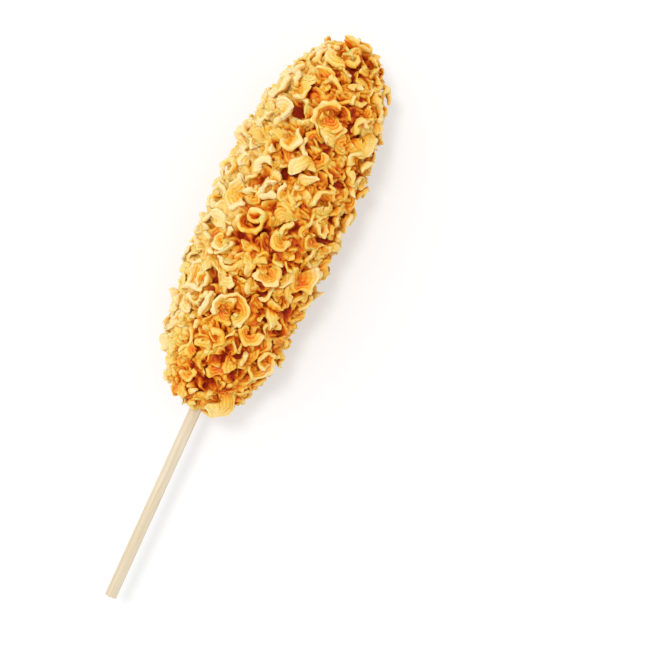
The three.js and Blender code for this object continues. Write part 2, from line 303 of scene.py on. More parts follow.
def draw_large(dice):
    """A large piece, as the CAD source draws it: of a hundred, 5 are big shells, 79 shells, 5 scrolls,
    6 curls and 5 waves."""
    kind = dice.roll()
    radius = dice.roll(2.2, 3.5)
    turn = math.radians(dice.roll(160, 300))
    slope = math.radians(dice.roll(45, 80))
    wanted = 3 + math.floor(dice.roll(0, 3.6))
    low = 5 if dice.roll() < 0.6 else 130  # tipped right over, a shell shows its outside
    if kind < 0.05:
        return shell_piece(radius * 1.4, turn, slope, wanted + 1, (low, low + 35))
    if kind < 0.84:
        return shell_piece(radius, turn, slope, wanted, (low, low + 45))
    if kind < 0.89:
        return scroll_piece(radius, turn, slope)
    if kind < 0.95:
        return strand_piece([(radius * 1.1 * turn, turn)], (5, 30))
    wave = [(radius * 0.7 * turn, turn * 0.6), (radius * 0.6 * turn, turn * -0.5)]
    return strand_piece(wave, (5, 30))


def nest_shells():
    """The two shells of a nest, the wider one first."""
    return (shell_piece(5.0, math.radians(290), math.radians(55), 3, (5, 18)),
            shell_piece(2.8, math.radians(240), math.radians(60), 4, (15, 32)))


def draw_small(dice):
    """A small piece: of a hundred, 82 are shells, 8 curls, 5 waves and 5 straight stubs."""
    kind = dice.roll()
    radius = dice.roll(1.9, 2.9)
    turn = math.radians(dice.roll(140, 290))
    slope = math.radians(dice.roll(45, 80))
    wanted = 3 + math.floor(dice.roll(0, 2.4))
    low = 0 if dice.roll() < 0.6 else 125
    if kind < 0.82:
        return shell_piece(radius, turn, slope, wanted, (low, low + 50))
    if kind < 0.9:
        return strand_piece([(radius * turn, turn)], (0, 60))
    if kind < 0.95:
        return strand_piece([(radius * turn * 0.6, turn * 0.6), (radius * turn * 0.4, turn * -0.4)], (0, 50))
    return strand_piece([(dice.roll(3.0, 6.0), dice.roll(-0.8, 0.8))], (0, 40))


def kind_of(piece):
    """A curl of one strand, a cup that shows its inside or a dome that shows its outside."""
    if piece["ribs"] == 1:
        return "curls"
    return "domes" if piece["tip"][0] > 90 else "cups"


def bent_line(bends, step):
    """The middle line of a strand with these bends, flat in XY, as points and the ways to their left."""
    points, lefts = [np.zeros(3)], [np.array([0.0, 1.0, 0.0])]
    heading = 0.0
    for length, turn in bends:
        count = max(1, math.floor(length / step + 0.5))
        for _ in range(count):
            heading += turn / count / 2
            points.append(points[-1] + np.array([math.cos(heading), math.sin(heading), 0.0]) * length / count)
            heading += turn / count / 2
            lefts.append(np.array([-math.sin(heading), math.cos(heading), 0.0]))
    points = np.array(points)
    return points - (points.min(axis=0) + points.max(axis=0)) / 2, np.array(lefts)


def rib_sides(ribs):
    """Where the ribs of a piece lie across it."""
    return (np.arange(ribs) - (ribs - 1) / 2) * RIB_PITCH


# Setting the pieces on the skin.


def piece_balls(piece):
    """The balls that stand for a piece where pieces are set beside each other."""
    points, lefts = bent_line(piece["bends"], STRAND_STEP)
    up = np.array([0.0, 0.0, math.cos(piece["slope"])])
    return np.concatenate([points + (up - lefts * math.sin(piece["slope"])) * side
                           for side in rib_sides(piece["ribs"])])


def set_piece(piece, skin, dice, tops, seat):
    """Turns and tips a drawn piece at random and sets its height, the lowest strand no higher than seat."""
    turned = turn_matrix(2, dice.roll(0, FULL_TURN))
    tipped = turn_matrix(0, math.radians(dice.roll(*piece["tip"])))
    spun = turn_matrix(2, dice.roll(0, FULL_TURN))
    top = dice.roll(*tops) - BALL_RADIUS
    balls = piece_balls(piece)
    piece["seat"] = spun @ tipped @ turned
    heights = moved(piece["seat"], balls)[:, 2]
    piece["seat"][2, 3] = min(top - heights.max(), seat - heights.min())
    piece["skin"] = skin
    piece["balls"] = moved(skin @ piece["seat"], balls)
    return piece


def crowding(balls, placed):
    """How far a piece's balls reach into those that are already set, on average."""
    low, high = balls.min(axis=0) - 2 * BALL_RADIUS, balls.max(axis=0) + 2 * BALL_RADIUS
    near = placed[np.all((placed > low) & (placed < high), axis=1)]
    gaps = np.linalg.norm(balls[:, None] - near[None], axis=2)
    return np.maximum(0, 2 * BALL_RADIUS - gaps).sum() / len(balls)


def stick_balls():
    """Balls along the stick where it enters the food, which pieces keep clear of."""
    return np.array([[0.0, y, 0.0] for y in range(-STICK_REACH, 3)])


def fitted(layer, draw_spot, draw, dice, placed):
    """A piece at a spot on the skin: of a few draws, the one that is least crowded by those already set."""
    best = None
    for _ in range(layer.tries):
        skin = draw_spot()
        piece = set_piece(draw(dice), skin, dice, layer.tops, layer.seat)
        piece["crowding"] = crowding(piece["balls"], placed)
        if best is None or piece["crowding"] < best["crowding"]:
            best = piece
    return best


def large_spot(i, dice):
    """A spot near the i-th of the even places for the large pieces."""
    area_share = (i + 0.5 + dice.roll(-SHIFT_ALONG, SHIFT_ALONG)) / LARGE_PIECES
    return skin_frame(area_share, i * GOLDEN_ANGLE + dice.roll(-SHIFT_ROUND, SHIFT_ROUND))


def set_nests(dice, placed):
    """The shells of the nests."""
    pieces = []
    for skin in on_skin(NESTS):
        for shell in nest_shells():
            pieces.append(set_piece(shell, skin, dice, (TOP_HIGH, TOP_HIGH), LARGE.seat))
            placed = np.concatenate([placed, shell["balls"]])
    return pieces, placed


def spread_large(dice, placed):
    """The nests, and the other large pieces spread evenly over the skin, but for those too near a pit."""
    pieces, placed = set_nests(dice, placed)
    pits = middles_of(on_skin(PITS))
    for i in range(LARGE_PIECES):
        middle = golden_frame(i, LARGE_PIECES)[:3, 3]
        if np.linalg.norm(pits - middle, axis=1).min() > PIT_CLEAR:
            piece = fitted(LARGE, lambda: large_spot(i, dice), draw_large, dice, placed)
            placed = np.concatenate([placed, piece["balls"]])
            pieces.append(piece)
    return pieces, placed


def on_capsule(points):
    """Points moved straight in or out onto one round-ended shape, where gaps between pieces are measured."""
    spine = np.zeros_like(points)
    spine[:, 1] = np.clip(points[:, 1], BATTER_RADIUS, BATTER_LENGTH - BATTER_RADIUS)
    spine[:, 0] = side_offset(spine[:, 1])
    away = points - spine
    return spine + away / np.linalg.norm(away, axis=1, keepdims=True) * BATTER_RADIUS


def nearest(points, others):
    """Distance from each point to the nearest of the others."""
    return np.min([np.linalg.norm(points - other, axis=1) for other in others], axis=0)


class Gaps:
    """Keeps the width of the gap between the pieces at sample places all over the skin."""

    def __init__(self, placed):
        self.spots = [golden_frame(i, SKIN_SAMPLES) for i in range(SKIN_SAMPLES)]
        self.samples = on_capsule(middles_of(self.spots))
        self.widths = nearest(self.samples, on_capsule(placed))

    def close(self, places, radius):
        """Keeps small pieces out of the rounds of this radius at these places."""
        for middle in on_capsule(middles_of(on_skin(places))):
            self.widths[np.linalg.norm(self.samples - middle, axis=1) < radius] = 0.0

    def leave_bare(self):
        """Leaves the widest gaps open, some way apart, and returns their middles."""
        middles, widths = [], self.widths.copy()
        for _ in range(BARE_PLACES):
            middle = self.samples[np.argmax(widths)]
            away = np.linalg.norm(self.samples - middle, axis=1)
            widths[away < BARE_APART] = 0.0
            self.widths[away < BARE_RADIUS] = 0.0
            middles.append(middle)
        return np.array(middles)

    def fill(self, layer, dice, placed):
        """Small pieces, each over the widest gap that those before it have left."""
        pieces = []
        for _ in range(layer.pieces):
            widest = int(np.argmax(self.widths))
            piece = fitted(layer, lambda: self.spots[widest], draw_small, dice, placed)
            placed = np.concatenate([placed, piece["balls"]])
            self.widths = np.minimum(self.widths, nearest(self.samples, on_capsule(piece["balls"])))
            self.widths[widest] = 0.0
            pieces.append(piece)
        return pieces, placed


def shell_middles(pieces):
    """The middles of the shells, which smaller pieces stay out of."""
    return np.array([(piece["skin"] @ piece["seat"])[:3, 3] for piece in pieces if piece["ribs"] > 1])


def set_all(dice):
    """The pieces of every layer, and the middles of the hollows between them."""
    large, placed = spread_large(Dice(CRUST_SEED), stick_balls())
    gaps = Gaps(np.concatenate([placed, shell_middles(large)]))
    gaps.close(NESTS, NEST_RADIUS)
    gaps.close(PITS, PIT_RADIUS)
    middle, placed = gaps.fill(MIDDLE, dice, placed)
    bare = np.concatenate([gaps.leave_bare(), on_capsule(middles_of(on_skin(PITS)))])
    under, placed = gaps.fill(UNDER, dice, placed)
    return ((LARGE, large), (MIDDLE, middle), (UNDER, under)), bare


# Meshes.


class Batch:
    """Gathers closed shapes into the arrays of one mesh, each with a cell of its own in the UV map."""

    def __init__(self):
        self.places, self.marks, self.across, self.count, self.shapes = [], [], [], 0, 0
        self.corners, self.spots = {3: [], 4: []}, {3: [], 4: []}

    def add(self, places, marks, across, faces):
        """Adds a shape: its vertices, their marks and where they lie across its ribs, and its faces as
        (corners, UV places) for each size."""
        for corners, spots in faces:
            cell = np.full((*corners.shape, 1), self.shapes)
            self.corners[corners.shape[1]].append(corners + self.count)
            self.spots[corners.shape[1]].append(np.concatenate([spots, cell], axis=2))
        self.places.append(places)
        self.marks.append(marks)
        self.across.append(across)
        self.count += len(places)
        self.shapes += 1

    def move(self, change, *settings):
        """Moves all that it holds."""
        self.places = [change(np.concatenate(self.places), *settings)]

    def depth(self):
        """How far its lowest point lies under the stick's line."""
        return -min(places[:, 2].min() for places in self.places)

    def mesh(self, name):
        """One smooth mesh of all that it holds, in the row frame."""
        places = np.concatenate(self.places)
        corners = {size: np.concatenate(self.corners[size]) for size in (4, 3)}
        loops = np.concatenate([corners[size].ravel() for size in (4, 3)])
        sizes = np.concatenate([np.full(len(corners[size]), size) for size in (4, 3)])
        mesh = bpy.data.meshes.new(name)
        mesh.vertices.add(len(places))
        mesh.vertices.foreach_set("co", (places * MM + ORIGIN).astype(np.float32).ravel())
        mesh.loops.add(len(loops))
        mesh.loops.foreach_set("vertex_index", loops.astype(np.int32))
        mesh.polygons.add(len(sizes))
        mesh.polygons.foreach_set("loop_start", (np.cumsum(sizes) - sizes).astype(np.int32))
        mesh.polygons.foreach_set("use_smooth", np.ones(len(sizes), bool))
        mesh.update(calc_edges=True)
        marks = mesh.color_attributes.new("marks", "FLOAT_COLOR", "POINT")
        marks.data.foreach_set("color", np.concatenate(self.marks).astype(np.float32).ravel())
        across = mesh.attributes.new("across", "FLOAT", "POINT")
        across.data.foreach_set("value", np.concatenate(self.across).astype(np.float32))
        uv = mesh.uv_layers.new(name="OFBake")
        uv.data.foreach_set("uv", self.uv_places().astype(np.float32).ravel())
        return mesh

    def uv_places(self):
        """The place of every corner in the UV map, face by face."""
        spots = np.concatenate([np.concatenate(self.spots[size]).reshape(-1, 3) for size in (4, 3)])
        grid = math.ceil(math.sqrt(self.shapes))
        cells = np.column_stack([spots[:, 2] % grid, spots[:, 2] // grid])
        return (spots[:, :2] + cells) / grid


def side_faces(along, around):
    """The quads of a tube's wall, ring by ring, as (corners, UV places)."""
    sides = len(around) - 1
    rows = np.meshgrid(np.arange(len(along) - 1), np.arange(sides), indexing="ij")
    ring, side = (row.ravel() for row in rows)
    after = (side + 1) % sides
    corners = np.column_stack([ring * sides + side, ring * sides + after,
                               (ring + 1) * sides + after, (ring + 1) * sides + side])
    spots = np.dstack([np.column_stack([around[side], around[side + 1], around[side + 1], around[side]]),
                       np.column_stack([along[ring], along[ring], along[ring + 1], along[ring + 1]])])
    return corners, spots


def cap_faces(along, around):
    """The triangles that close a tube's ends on its two last vertices, as (corners, UV places)."""
    rings, sides = len(along), len(around) - 1
    side = np.arange(sides)
    after = (side + 1) % sides
    last = (rings - 1) * sides
    pole = np.full(sides, rings * sides)
    corners = np.concatenate([np.column_stack([after, side, pole]),
                              np.column_stack([last + side, last + after, pole + 1])])
    tooth = (around[:-1] + around[1:]) / 2
    low, high = np.full(sides, along[0]), np.full(sides, along[-1])
    spots = np.concatenate([
        np.dstack([np.column_stack([around[1:], around[:-1], tooth]),
                   np.column_stack([low, low, low - 2 * UV_MARGIN])]),
        np.dstack([np.column_stack([around[:-1], around[1:], tooth]),
                   np.column_stack([high, high, high + 2 * UV_MARGIN])]),
    ])
    return corners, spots


def tube_faces(shares, sides):
    """The faces of a closed tube through rings at these shares of its length."""
    along = 3 * UV_MARGIN + (1 - 6 * UV_MARGIN) * np.asarray(shares)
    around = UV_MARGIN + (1 - 2 * UV_MARGIN) * np.arange(sides + 1) / sides
    return [side_faces(along, around), cap_faces(along, around)]


def strand_section(scale):
    """Section of a single strand, as places across the piece and through it."""
    around = round_angles(STRAND_SIDES)
    return np.sin(around) * STRAND_WIDTH / 2 * scale, np.cos(around) * STRAND_DEPTH / 2 * scale


def shell_section(ribs, groove_share, scale):
    """Section of a shell, whose ribs stick together side by side with grooves between them."""
    half = (ribs - 1) / 2 * RIB_PITCH
    points = 3 * ribs - 2
    ribbed = np.linspace(-half, half, points)
    depth = np.where(np.arange(points) % 3 == 0, RIB_RADIUS, RIB_RADIUS * groove_share)
    shoulder = RIB_RADIUS * SHOULDER_SHARE
    across = np.concatenate([[-half - RIB_RADIUS, -half - shoulder], ribbed, [half + shoulder]])
    through = np.concatenate([[0.0, shoulder], depth, [shoulder]])
    return np.concatenate([across, -across]) * scale, np.concatenate([through, -through]) * scale


def places_along(total, step, dice):
    """Places of the rings along a piece: closer together at its ends, which round off. Also the share that
    the section has left at each."""
    rounding = [min(dice.roll(*END_ROUNDING), total * MOST_ROUNDED) for _ in range(2)]
    steps = max(5, round(total / step))
    near_end = np.array(END_RINGS)
    at = np.concatenate([near_end * rounding[0], np.linspace(rounding[0], total - rounding[1], steps),
                         total - near_end[::-1] * rounding[1]])
    from_end = np.clip(np.minimum(at / rounding[0], (total - at) / rounding[1]), 0, 1)
    return at, (END_SHARE + (1 - END_SHARE) * np.sqrt(1 - (1 - from_end) ** 2))[:, None]


def broken_ends(at, across, ribs, dice):
    """Places along for each ring and point of the section: at both ends each rib breaks by itself."""
    reach = np.abs(across).max()
    end = (2 * at / at[-1] - 1)[:, None]
    lost = []
    for _ in range(2):
        short = [dice.roll(0.0, RIB_LOSS) * reach for _ in range(ribs)]
        lost.append(np.interp(across, rib_sides(ribs), short) + CORNER_LOSS * reach * (across / reach) ** 2)
    return at[:, None] - np.sign(end) * end**4 * np.where(end < 0, *lost)


def wall(piece, side):
    """How far out, how far up and how steeply leaning a piece's wall is at these distances up it.
    A shell's wall curves inwards below, as a cup's does. A single strand stays straight."""
    slope = piece["slope"]
    if slope == 0:
        return np.zeros_like(side), side, np.zeros_like(side)
    bend = min(CUP_BEND, (FLATTEST - slope) / np.abs(side).max())
    lean = slope - bend * side
    return (np.cos(lean) - math.cos(slope)) / bend, (math.sin(slope) - np.sin(lean)) / bend, lean


def unevenness(at, sides, dice):
    """Swells along and round a piece, as shares of its thickness."""
    along, around = at[:, None], round_angles(sides)[None]
    thickness = 1
    for height, rounds, pace in SWELLS:
        thickness = thickness + height * np.sin(rounds * around + along * pace + dice.roll(0, FULL_TURN))
    return thickness


def ripple(at, height, dice):
    """Ripples along a piece, this high in all, in millimetres."""
    waves = sum(share * np.sin(at * dice.roll(*pace) + dice.roll(0, FULL_TURN)) for share, pace in RIPPLES)
    return (height * waves)[:, None]


def noodle_rings(piece, across, through, step, dice):
    """The rings of a noodle piece, and how far along it they lie: its section drawn along its bent line,
    uneven, with broken ends."""
    ribs = piece["ribs"]
    line, left = bent_line(piece["bends"], step)
    lengths = np.concatenate([[0.0], np.cumsum(np.linalg.norm(np.diff(line, axis=0), axis=1))])
    at, taper = places_along(lengths[-1], step, dice)
    along = broken_ends(at, across, ribs, dice)
    middle, inward = (np.stack([np.interp(along, lengths, values[:, k]) for k in (0, 1)], axis=-1)
                      for values in (line, left))
    swell = unevenness(at, len(across), dice)
    edge = (across / np.abs(across).max())[None]
    width_taper = taper if ribs == 1 else 1 - SHELL_TAPER + SHELL_TAPER * taper
    side = across[None] * (1 + WIDTH_SWELL * (swell - 1)) * width_taper
    side = side + np.abs(edge) * ripple(at, EDGE_RIPPLE, dice)
    thick = through[None] * swell * taper + edge * np.abs(edge) * ripple(at, FACE_RIPPLE, dice)
    out, up, lean = wall(piece, side)
    flat = middle + inward * (thick * np.cos(lean) - out)[..., None]
    rise = dice.roll(*RISE) * np.sin(at * dice.roll(*RISE_PACE) + dice.roll(0, FULL_TURN))
    up = up + thick * np.sin(lean) + rise[:, None]
    return np.concatenate([flat, up[..., None]], axis=-1), at


def noodle_marks(piece, across, through, at):
    """Marks on the rings of a noodle piece: rim, a painted highlight up to 1 at its broken ends and along its
    upper edge, and inside, up to 1 at the bottom of its inner face, where shade is painted along with a
    deeper amber."""
    is_shell = piece["ribs"] > 1
    edge = across / np.abs(across).max()
    to_end = np.minimum(at, at[-1] - at)[:, None]
    rim_highlight = np.maximum(np.exp(-to_end / RIM_WIDTH), np.clip(edge, 0, 1) ** 5 * is_shell)
    # Painted shade down a shell's inner face, along with its deeper amber.
    inner_amber_and_shade = np.where(through > 0, 0.5 - 0.5 * edge, 0.0) * is_shell
    return rim_highlight, np.broadcast_to(inner_amber_and_shade, rim_highlight.shape)


def with_poles(values, at_poles):
    """Values on a tube's rings, and the same value on each of its two last vertices."""
    return np.append(values.ravel(), [at_poles, at_poles])


def add_noodle(batch, piece, scale, step, dice):
    """Adds a noodle piece, with what colours it: its height over the skin, tint, rim, inside and ribs. The
    rim paints a highlight and the ribs paint shade in their grooves; the inside and the height paint shade
    along with the noodle's own colour.
    """
    ribs = piece["ribs"]
    if ribs == 1:
        across, through = strand_section(scale)
    else:
        across, through = shell_section(ribs, dice.roll(*GROOVE_SHARE), scale)
    rings, at = noodle_rings(piece, across, through, step, dice)
    poles = np.stack([rings[0].mean(axis=0), rings[-1].mean(axis=0)])
    local = moved(piece["seat"], np.concatenate([rings.reshape(-1, 3), poles]))
    # The height also paints shade: low in the crust a noodle is darker and more orange, partly as its own
    # colour.
    height = (local[:, 2] + local[:, 0] ** 2 / (2 * BATTER_RADIUS)) / TOP_HIGH
    rim_highlight, inner_amber_and_shade = noodle_marks(piece, across, through, at)
    marks = np.column_stack([height, np.full(len(height), piece["tint"]),
                             with_poles(rim_highlight, 1.0), with_poles(inner_amber_and_shade, 0.0)])
    ribbed = (across / scale / RIB_PITCH + (ribs - 1) / 2) * (ribs > 1)
    batch.add(moved(piece["skin"], local), marks, with_poles(np.broadcast_to(ribbed, rim_highlight.shape), 0.0),
              tube_faces(at / at[-1], len(across)))


def lumpiness(places, size, waves, dice):
    """A smooth random height for each place, about -1 to 1, with swells of this size."""
    total = np.zeros(len(places))
    for _ in range(waves):
        way = np.array([dice.roll(-1, 1), dice.roll(-1, 1), dice.roll(-1, 1)])
        way *= FULL_TURN / size / np.linalg.norm(way) * dice.roll(0.7, 1.4)
        total += np.sin(places @ way + dice.roll(0, FULL_TURN))
    return total / math.sqrt(waves)


def warped(places):
    """Places pulled about by swells, so that no curl keeps a true round."""
    dice = Dice(WARP_SEED)
    shifts = [sum(reach * lumpiness(places, size, WARP_WAVES, dice) for size, reach in WARPS)
              for _ in range(3)]
    return places + np.stack(shifts, axis=1)


def pressed(places, deepest):
    """The food's underside, pressed by its weight to the surface that it lies on."""
    places = places.copy()
    share = (REST_DEPTH - PRESSED_FROM) / ((deepest - PRESSED_FROM) * FLATTENED)
    below = places[:, 2] < -PRESSED_FROM
    places[below, 2] = np.maximum(-PRESSED_FROM + (places[below, 2] + PRESSED_FROM) * share, -REST_DEPTH)
    return places


def batter_relief(places, dice):
    """How far the batter rises at each place, and how near the crest of a coarse ridge each lies."""
    crests = [np.exp(-((lumpiness(places, size, waves, dice) / width) ** 2))
              for _, size, width, waves in (COARSE_RIDGES, FINE_RIDGES)]
    rise = BATTER_RISE + COARSE_RIDGES[0] * crests[0] + FINE_RIDGES[0] * crests[1]
    for height, size, waves in LUMPS:
        rise = rise + height * lumpiness(places, size, waves, dice)
    return rise, crests[0]


def batter_batch(bare, dice):
    """The fried batter under the noodles, with noodle crumbs baked into it as meandering ridges, and with
    hollows at the bare places."""
    y, radius, _ = profile_table(BATTER_RINGS + 1)
    y, radius = y[1:-1], radius[1:-1]
    around = round_angles(BATTER_SIDES)
    base = np.stack([radius[:, None] * np.cos(around), np.repeat(y[:, None], BATTER_SIDES, 1),
                     radius[:, None] * np.sin(around)], axis=-1).reshape(-1, 3)
    base = np.concatenate([base, [[0.0, 0.0, 0.0], [0.0, BATTER_LENGTH, 0.0]]])
    rise, crest = batter_relief(base, dice)
    flat = np.zeros(len(base))
    skin = base + np.column_stack([side_offset(base[:, 1]), flat, flat])
    rise -= HOLLOW_DEPTH * np.exp(-((nearest(on_capsule(skin), bare) / BARE_RADIUS) ** 2))
    away = (base - [0.0, BATTER_LENGTH / 2, 0.0]) * [1.0, BATTER_SPLAY, 1.0]
    away /= np.maximum(np.linalg.norm(away, axis=1, keepdims=True), 1e-6)
    contrast, size, waves = TINT_LUMPS
    tint = 0.5 + contrast * lumpiness(base, size, waves, dice)
    batch = Batch()
    batch.add(skin + away * rise[:, None], np.column_stack([rise / BATTER_CREST, tint, crest, flat]), flat,
              tube_faces(y / BATTER_LENGTH, BATTER_SIDES))
    return batch


def round_square(across, edge_radius, corner_steps, flat_steps):
    """Outline of a square with round edges."""
    half = across / 2 - edge_radius
    quarter = np.linspace(0, math.pi / 2, corner_steps + 1)
    arc = half + edge_radius * np.column_stack([np.cos(quarter), np.sin(quarter)])
    along = np.linspace(half, -half, flat_steps + 1)[1:-1]
    side = np.concatenate([arc, np.column_stack([along, np.full(len(along), across / 2)])])
    quarter_turn = np.array([[0.0, 1.0], [-1.0, 0.0]])
    return np.concatenate([side @ np.linalg.matrix_power(quarter_turn, k) for k in range(4)])


def stick_batch():
    """The bamboo stick: a square with round edges, fine fibres along it and a clean cut at its ends."""
    low, high = (corner / MM for corner in map(np.array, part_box("stick")))
    length = high[1] - low[1]
    outline = round_square(STICK_ACROSS, STICK_EDGE_RADIUS, corner_steps=6, flat_steps=7)
    outline = outline @ turn_matrix(2, STICK_TURN)[:2, :2].T
    dice = Dice(STICK_SEED)
    groove = 1 + np.array([dice.roll(*FIBRE_DEPTH) for _ in outline])
    bevel = np.array(STICK_BEVEL)
    even = np.linspace(STICK_END_RING, length - STICK_END_RING, STICK_RINGS)
    at = np.concatenate([bevel, even, length - bevel[::-1]])
    shrink = np.interp(np.minimum(at, length - at), bevel, BEVEL_SHARES)
    ring = outline[None] * (groove[None, :, None] * shrink[:, None, None])
    along = np.repeat(at[:, None], len(outline), 1)
    places = np.stack([ring[:, :, 0], along, -ring[:, :, 1]], axis=-1).reshape(-1, 3)
    places = np.concatenate([places, [[0.0, 0.0, 0.0], [0.0, length, 0.0]]]) - [0.0, STICK_FREE_LENGTH, 0.0]
    batch = Batch()
    batch.add(places, np.ones((len(places), 4)), np.zeros(len(places)), tube_faces(at / length, len(outline)))
    return batch


# Materials.


class Nodes:
    """Short ways to add nodes to a material."""

    def __init__(self, name):
        self.material = bpy.data.materials.new(name)
        self.material.use_nodes = True
        self.tree = self.material.node_tree
        self.shader = self.tree.nodes["Principled BSDF"]

    def link(self, value, socket):
        if isinstance(value, bpy.types.NodeSocket):
            self.tree.links.new(value, socket)
        else:
            socket.default_value = value

    def node(self, kind, inputs=(), **settings):
        """A node with its inputs, by name or by number, and its settings."""
        node = self.tree.nodes.new(kind)
        for name, value in settings.items():
            setattr(node, name, value)
        for name, value in dict(inputs).items():
            self.link(value, node.inputs[name])
        return node

    def math(self, operation, *values):
        return self.node("ShaderNodeMath", enumerate(values), operation=operation).outputs[0]

    def vector(self, operation, *values, output="Vector"):
        return self.node("ShaderNodeVectorMath", enumerate(values), operation=operation).outputs[output]

    def total(self, *terms):
        """The sum of values times weights. A third number is the middle from which its value counts."""
        level = 0.0
        for value, weight, *middle in terms:
            if middle:
                value = self.math("SUBTRACT", value, *middle)
            level = self.math("MULTIPLY_ADD", value, weight, level)
        return level

    def rising(self, value, low, high, top=1.0, interpolation="LINEAR"):
        """From 0 where the value is low to top where it is high."""
        inputs = {"Value": value, "From Min": low, "From Max": high, "To Max": top}
        return self.node("ShaderNodeMapRange", inputs, interpolation_type=interpolation).outputs[0]

    def ramp(self, value, *stops):
        """Colours along a value, each stop as (position, red, green, blue) as the eye reads them, to 255."""
        node = self.node("ShaderNodeValToRGB", {"Fac": value})
        elements = node.color_ramp.elements
        while len(elements) < len(stops):
            elements.new(0.5)
        for element, (position, *colour) in zip(elements, stops):
            element.position = position
            element.color = (*map(linear, colour), 1.0)
        return node.outputs["Color"]

    def mix(self, share, first, second):
        """Two colours mixed. The node's colour inputs have no names of their own."""
        inputs = {"Factor": share, 6: first, 7: second}
        return self.node("ShaderNodeMix", inputs, data_type="RGBA").outputs[2]

    def marks(self):
        """The mesh's marks: height, tint, rim and inside. On a noodle the rim is a painted highlight, the
        inside
            partly a painted shade, and the height paints shade low in the crust as well as its browner
            colour.
        """
        attribute = self.node("ShaderNodeAttribute", attribute_name="marks")
        split = self.node("ShaderNodeSeparateColor", {"Color": attribute.outputs["Color"]})
        return [split.outputs[i] for i in range(3)] + [attribute.outputs["Alpha"]]

    def place(self):
        return self.node("ShaderNodeTexCoord").outputs["Object"]

    def noise(self, size, detail=3.0, vector=None):
        """A noise from 0 to 1 whose features are about this many millimetres."""
        inputs = {"Vector": vector or self.place(), "Scale": 1 / (size * MM), "Detail": detail,
                  "Roughness": 0.55}
        return self.node("ShaderNodeTexNoise", inputs).outputs[0]

    def crest(self):
        """From 1 on a shell's ribs to -1 in the grooves between them, which the noodles use to paint shade
        into the grooves.
        """
        across = self.node("ShaderNodeAttribute", attribute_name="across").outputs["Fac"]
        return self.math("COSINE", self.math("MULTIPLY", across, FULL_TURN))

    def facing_shade(self):
        """From 1 where the surface faces straight out of the food to -1 where it faces in, for painted light
        on faces turned out and painted shade on those turned in.
        """
        from_origin = self.vector("SUBTRACT", self.place(), tuple(ORIGIN))
        outward = self.vector("NORMALIZE", self.vector("MULTIPLY", from_origin, (1.0, 0.0, 1.0)))
        normal = self.node("ShaderNodeNewGeometry").outputs["Normal"]
        return self.vector("DOT_PRODUCT", outward, normal, output="Value")

    def gap_shade(self, distance):
        """From 0 in the open to 1 deep in a gap, by what lies within this many millimetres: the mask of the
        shade painted into the gaps.
        """
        node = self.node("ShaderNodeAmbientOcclusion", {"Distance": distance * MM}, samples=4)
        return self.math("SUBTRACT", 1.0, node.outputs["AO"])

    def painted_flank_light(self):
        """From 0 in the middle to 1 down the left flank, where light is painted: the flank is made paler as
        if lit from the left.
        """
        across = self.node("ShaderNodeSeparateXYZ", {"Vector": self.place()}).outputs["X"]
        return self.rising(across, PAINTED_FLANK_SPAN[0] * MM, PAINTED_FLANK_SPAN[1] * MM, interpolation="SMOOTHSTEP")

    def browning(self):
        """From 0 in the middle of the food to 1 at the stick, where it is fried more."""
        along = self.node("ShaderNodeSeparateXYZ", {"Vector": self.place()}).outputs["Y"]
        return self.rising(along, ORIGIN[1] + BROWNING[0] * MM, ORIGIN[1] + BROWNING[1] * MM)

    def bump(self, *layers):
        """Bump layers as (height, distance in millimetres), one on top of the other."""
        normal = None
        for height, distance in layers:
            inputs = {"Height": height, "Distance": distance * MM, "Strength": 1.0}
            if normal is not None:
                inputs["Normal"] = normal
            normal = self.node("ShaderNodeBump", inputs).outputs[0]
        self.link(normal, self.shader.inputs["Normal"])

    def finish(self, colour, roughness, **inputs):
        self.link(colour, self.shader.inputs["Base Color"])
        self.link(roughness, self.shader.inputs["Roughness"])
        for name, value in inputs.items():
            self.shader.inputs[name.replace("_", " ")].default_value = value
        return self.material


def linear(channel):
    """A colour channel as the eye reads it, 0 to 255, in linear light."""
    share = channel / 255
    return share / 12.92 if channel <= 10 else ((share + 0.055) / 1.055) ** 2.4


